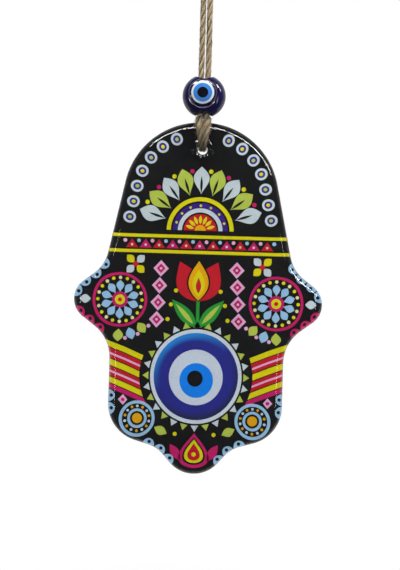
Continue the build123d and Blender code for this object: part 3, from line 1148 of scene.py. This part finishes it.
WRAP_TURNS = 3
WRAP_POINTS = 14
WRAP_RADIUS = 2.55
WRAP_LOW = -36.3
WRAP_HIGH = -31.2
WRAP_CORE = 0.4
WRAP_TUCK = 0.6
WRAP_TILT = 0.35
WRAP_TILT_PHASE = 0.6
WRAP_WAVE = 0.06
WRAP_WAVE_PHASE = 1.0
wrap_route = [(WRAP_CORE, -WRAP_CORE, WRAP_LOW + WRAP_TUCK)]
for k in range(WRAP_TURNS * WRAP_POINTS + 1):
    share = k / (WRAP_TURNS * WRAP_POINTS)
    angle = 2 * math.pi * WRAP_TURNS * share
    tilt = WRAP_TILT * math.sin(angle + WRAP_TILT_PHASE) * math.sin(math.pi * share)
    level = WRAP_LOW + (WRAP_HIGH - WRAP_LOW) * share + tilt
    reach = WRAP_RADIUS + WRAP_WAVE * math.sin(2 * angle + WRAP_WAVE_PHASE)
    wrap_route.append((reach * math.cos(angle), reach * math.sin(angle), level))
wrap_route.append((-WRAP_CORE, WRAP_CORE, WRAP_HIGH - WRAP_TUCK))
knot_line = smooth_line("knot_line", wrap_route)
knot = twine_piece("knot", knot_line, KNOT_SEED, HANGER_HAIRS, loose_hairs)
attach(knot, "hanger")
end_routes = [
    [
        (1.0, -1.2, KNOT_MIDDLE + 0.5),
        (4.4, -2.0, KNOT_MIDDLE + 1.2),
        (7.0, -2.6, KNOT_MIDDLE - 0.8),
        (8.2, -2.8, KNOT_MIDDLE - 3.8),
    ],
    [
        (-1.0, 1.2, KNOT_MIDDLE - 0.5),
        (-4.2, 2.0, KNOT_MIDDLE - 0.2),
        (-6.0, 2.4, KNOT_MIDDLE - 2.4),
        (-6.5, 2.5, KNOT_MIDDLE - 5.2),
    ],
]
for number, route in enumerate(end_routes, start=1):
    end_name = f"cut_end_{number}"
    end_line = smooth_line("end_line", route)
    end_seed = END_SEED + number
    cut_end = twine_piece(end_name, end_line, end_seed, HANGER_HAIRS, loose_hairs, frayed=True)
    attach(cut_end, "hanger")
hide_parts("top_knot")

# Pale floor below and behind the ornament, where its shadow falls, plain white beyond the shadow
FLOOR_LEVEL = -0.26
SHADOW_CORE = 0.02
SHADOW_PLACE = 0.08
FLOOR_REACH = 2


def floor_material():
    """Pale grey that turns white away from the shadow, where it is seen directly or in glass."""
    material, tree, principled = new_material("floor")
    set_inputs(principled, {
        "Base Color": (0.86, 0.86, 0.86, 1.0),
        "Roughness": 0.9,
        "Specular IOR Level": 0.0,
    })
    reach = vector_maths(tree, "LENGTH", coordinates(tree), output="Value")
    beyond = map_range(tree, reach, SHADOW_CORE, SHADOW_PLACE, interpolation="SMOOTHSTEP")
    rays = add_node(tree, "LightPath", {}).outputs
    seen = maths(tree, "MAXIMUM", rays["Is Camera Ray"], rays["Is Glossy Ray"])
    seen = maths(tree, "MAXIMUM", seen, rays["Is Transmission Ray"])
    white = add_node(tree, "Emission", {"Strength": 1.0})
    mix_shaders(tree, maths(tree, "MULTIPLY", seen, beyond), principled, white)
    return material


floor_corners = [
    (-FLOOR_REACH, -SHADOW_PLACE, 0),
    (FLOOR_REACH, -SHADOW_PLACE, 0),
    (FLOOR_REACH, FLOOR_REACH, 0),
    (-FLOOR_REACH, FLOOR_REACH, 0),
]
floor = new_object("floor", mesh_from("floor", floor_corners, [(0, 1, 2, 3)]))
floor.location = (0, SHADOW_PLACE, FLOOR_LEVEL)
put(floor_material(), floor)

# World: white behind the ornament, dim on the camera's side, and plain white where the camera sees it
WORLD_DIM = 0.06
DIM_FROM = -0.5
WHITE_FROM = 0.7
scene = bpy.context.scene
scene.view_settings.view_transform = "Standard"
world = bpy.data.worlds.new("studio")
scene.world = world
world.use_nodes = True
sky = world.node_tree
backwards = axis_of(sky, coordinates(sky, "Generated"), "Y")
brightness = map_range(sky, backwards, DIM_FROM, WHITE_FROM, WORLD_DIM, "SMOOTHSTEP")
camera_ray = add_node(sky, "LightPath", {}).outputs["Is Camera Ray"]
set_inputs(sky.nodes["Background"], {
    "Color": (1.0, 1.0, 1.0, 1.0),
    "Strength": maths(sky, "MAXIMUM", brightness, camera_ray),
})


def softbox(name, place, aim, width, height, power, turn=0.0):
    """A rectangular lamp that faces a point, turned about its own axis by some degrees."""
    lamp = bpy.data.lights.new(name, "AREA")
    lamp.shape = "RECTANGLE"
    lamp.size = width
    lamp.size_y = height
    lamp.energy = power
    holder = new_object(name, lamp)
    holder.location = place
    facing = (Vector(aim) - Vector(place)).to_track_quat("-Z", "Y")
    holder.rotation_euler = (facing @ Quaternion((0, 0, 1), math.radians(turn))).to_euler()


CROWN = (0.0, 0.0, plate_top - 0.02)
MIDDLE = (0.0, 0.0, plate_top - 0.055)
softbox("left_softbox", (-0.36, -0.38, 0.515), CROWN, 0.07, 0.36, 2.1, -59.0)
softbox("right_softbox", (0.5, -0.38, 0.415), CROWN, 0.09, 0.65, 4.1, 45.0)
softbox("top_softbox", (0.0, -0.42, 0.6), CROWN, 0.4, 0.1, 3.0)
softbox("left_strip", (-0.52, -0.46, -0.15), MIDDLE, 0.04, 0.3, 0.22)
softbox("right_strip", (0.52, -0.46, -0.15), MIDDLE, 0.04, 0.3, 0.16)

# Camera: square on, turned a little as in the photograph
LENS = 100.0
SENSOR = 36.0
VIEW_HEIGHT = 0.1933
VIEW_ASIDE = 0.0005
VIEW_DROP = 0.0555
ROLL = math.radians(-1.7)
camera = bpy.data.cameras.new("camera")
camera.lens = LENS
camera.sensor_width = SENSOR
camera.clip_start = 0.01
camera.clip_end = 20.0
camera_object = new_object("camera", camera)
camera_object.location = (VIEW_ASIDE, front_face - VIEW_HEIGHT * LENS / SENSOR, plate_top - VIEW_DROP)
camera_object.rotation_euler = (math.pi / 2, ROLL, 0.0)
scene.camera = camera_object
